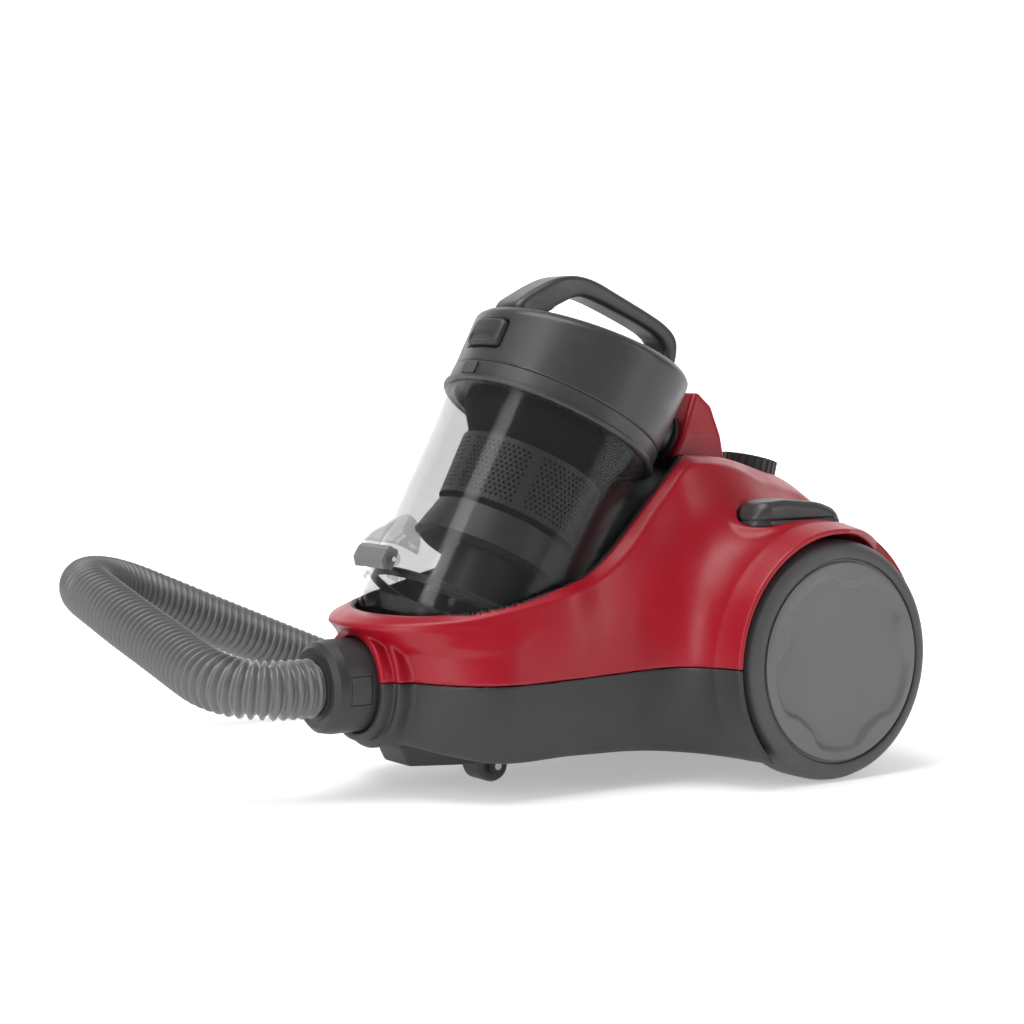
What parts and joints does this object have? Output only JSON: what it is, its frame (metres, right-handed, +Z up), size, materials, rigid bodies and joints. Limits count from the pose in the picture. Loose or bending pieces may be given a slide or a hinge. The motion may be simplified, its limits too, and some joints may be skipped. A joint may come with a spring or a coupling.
{
  "type": "canister vacuum cleaner",
  "caption": "Cylinder vacuum cleaner with a leaning clear cyclone dust bin, carry handle, big rear wheels, foot pedals, suction knob and a ribbed hose.",
  "frame": {"origin": "on the floor, below the middle of the machine without its hose", "axes": "+Z up, -X the front with the hose inlet, +X the rear, -Y the machine's left side"},
  "size_m": [0.8562, 0.7293, 0.329],
  "materials": {
    "red_shell": "satin moulded plastic",
    "dark_grey": "fine moulded grain",
    "lid_grey": "fine moulded grain",
    "black_liner": "matt",
    "smoky_clear": "clear, lightly smoked",
    "shroud_grey": "satin",
    "wheel_grey": "satin",
    "tyre_grey": "matt",
    "light_grey": "satin",
    "hose_grey": "ribbed, satin",
    "seal_black": "matt",
    "inner_plastic": "plain",
    "filter_white": "pleated or foam medium",
    "steel": "turned",
    "copper_iron": "windings on laminated iron",
    "board_green": "solder resist"
  },
  "bodies": {
    "machine": {"upper_shell": "red_shell", "lower_chassis": "dark_grey", "chassis_screws": "steel", "cradle_liner": "black_liner", "outlet_fin": "red_shell", "outlet_seal": "seal_black", "clean_air_duct": "inner_plastic", "inlet_duct": "inner_plastic", "inlet_seal": "seal_black", "exhaust_filter": "filter_white", "cord_outlet": "seal_black", "wheel_axles": "dark_grey", "pedal_springs": "steel", "power_switch": "black_liner", "control_board": "board_green", "motor_housing": "inner_plastic", "motor_cover": "inner_plastic", "motor_stator": "copper_iron", "motor_bearing": "steel", "motor_mounts": "seal_black", "reel_axle": "steel", "hose_cuff": "dark_grey", "hose_tube": "hose_grey", "hose_handle": "dark_grey"},
    "left_wheel": {"left_tyre": "tyre_grey", "left_hub": "wheel_grey", "left_cap": "wheel_grey"},
    "right_wheel": {"right_tyre": "tyre_grey", "right_hub": "wheel_grey", "right_cap": "wheel_grey"},
    "caster": {"caster_fork": "dark_grey", "caster_axle": "steel"},
    "caster_wheel": {"caster_roller": "tyre_grey"},
    "connector": {"hose_connector": "dark_grey"},
    "left_latch": {"left_connector_latch": "dark_grey"},
    "right_latch": {"right_connector_latch": "dark_grey"},
    "power_key": {"power_pedal": "lid_grey"},
    "rewind_key": {"rewind_pedal": "lid_grey"},
    "knob": {"suction_knob": "dark_grey"},
    "bin": {"bin_tube": "smoky_clear", "latch_hood": "smoky_clear", "lock_ring": "lid_grey", "cyclone_core": "shroud_grey", "cyclone_shroud": "shroud_grey", "cyclone_skirt": "shroud_grey"},
    "door": {"bin_door": "smoky_clear", "door_seal": "seal_black", "door_pins": "steel"},
    "latch_bar": {"door_latch": "light_grey"},
    "lid": {"lid_shell": "lid_grey", "carry_handle": "lid_grey", "foam_filter": "filter_white", "lid_seal": "seal_black"},
    "lid_key": {"lid_button": "light_grey"},
    "grille": {"rear_cover": "dark_grey"},
    "reel": {"cord_reel": "inner_plastic", "reel_spring": "steel"},
    "fan": {"motor_rotor": "copper_iron", "motor_impeller": "steel"},
    "air_slide": {"handle_air_slide": "light_grey"}
  },
  "joints": [
    {"name": "left_wheel_spin", "type": "hinge", "parent": "machine", "child": "left_wheel", "pos_m": [0.107, -0.12, 0.079], "axis": [0, 1, 0], "continuous": true},
    {"name": "right_wheel_spin", "type": "hinge", "parent": "machine", "child": "right_wheel", "pos_m": [0.107, 0.12, 0.079], "axis": [0, 1, 0], "continuous": true},
    {"name": "caster_swivel", "type": "hinge", "parent": "machine", "child": "caster", "pos_m": [-0.088, 0, 0.02], "axis": [0, 0, 1], "continuous": true},
    {"name": "caster_roll", "type": "hinge", "parent": "caster", "child": "caster_wheel", "pos_m": [-0.078, 0, 0.011], "axis": [0, 1, 0], "continuous": true},
    {"name": "connector_swivel", "type": "hinge", "parent": "machine", "child": "connector", "pos_m": [-0.19, 0, 0.071], "axis": [1, 0, 0], "continuous": true},
    {"name": "left_latch_press", "type": "slide", "parent": "connector", "child": "left_latch", "axis": [0, 1, 0], "range_m": [0, 0.002], "stiffness_N_per_m": 400, "springref_m": -0.002},
    {"name": "right_latch_press", "type": "slide", "parent": "connector", "child": "right_latch", "axis": [0, -1, 0], "range_m": [0, 0.002], "stiffness_N_per_m": 400, "springref_m": -0.002},
    {"name": "power_press", "type": "hinge", "parent": "machine", "child": "power_key", "pos_m": [0.141, -0.09, 0.162], "axis": [0, -1, 0], "range_deg": [0, 4], "stiffness_Nm_per_rad": 1.5, "springref_deg": -8.59, "deforming": ["pedal_springs"]},
    {"name": "rewind_press", "type": "hinge", "parent": "machine", "child": "rewind_key", "pos_m": [0.141, 0.09, 0.162], "axis": [0, -1, 0], "range_deg": [0, 4], "stiffness_Nm_per_rad": 1.5, "springref_deg": -8.59, "deforming": ["pedal_springs"]},
    {"name": "suction_turn", "type": "hinge", "parent": "machine", "child": "knob", "pos_m": [0.146, 0, 0.196], "axis": [0.2419, 0, 0.9703], "range_deg": [-135, 135]},
    {"name": "bin_lift", "type": "slide", "parent": "machine", "child": "bin", "axis": [0.4848, 0, 0.8746], "range_m": [0, 0.3]},
    {"name": "door_swing", "type": "hinge", "parent": "bin", "child": "door", "pos_m": [-0.02974, 0, 0.07247], "axis": [0, -1, 0], "range_deg": [0, 55]},
    {"name": "door_latch_tilt", "type": "hinge", "parent": "door", "child": "latch_bar", "pos_m": [-0.16017, 0, 0.15048], "axis": [0, 1, 0], "range_deg": [0, 15], "stiffness_Nm_per_rad": 0.2, "springref_deg": -5.73},
    {"name": "lid_lift", "type": "slide", "parent": "bin", "child": "lid", "axis": [0.4848, 0, 0.8746], "range_m": [0, 0.08]},
    {"name": "lid_button_press", "type": "slide", "parent": "lid", "child": "lid_key", "axis": [0.8746, 0, -0.4848], "range_m": [0, 0.003], "stiffness_N_per_m": 500, "springref_m": -0.002},
    {"name": "rear_cover_tilt", "type": "hinge", "parent": "machine", "child": "grille", "pos_m": [0.2038, 0, 0.0622], "axis": [0, 1, 0], "range_deg": [0, 80]},
    {"name": "cord_reel_spin", "type": "hinge", "parent": "machine", "child": "reel", "pos_m": [0.1, 0.056, 0.084], "axis": [0, 1, 0], "continuous": true},
    {"name": "motor_fan_spin", "type": "hinge", "parent": "machine", "child": "fan", "pos_m": [0.096, -0.04, 0.092], "axis": [0, 1, 0], "continuous": true},
    {"name": "air_slide_move", "type": "slide", "parent": "machine", "child": "air_slide", "axis": [1, 0, 0], "range_m": [0, 0.016]}
  ],
  "couplings": [
    {"joint": "door_swing", "follows": "bin_lift", "rad_per_m": 3.1978}
  ]
}
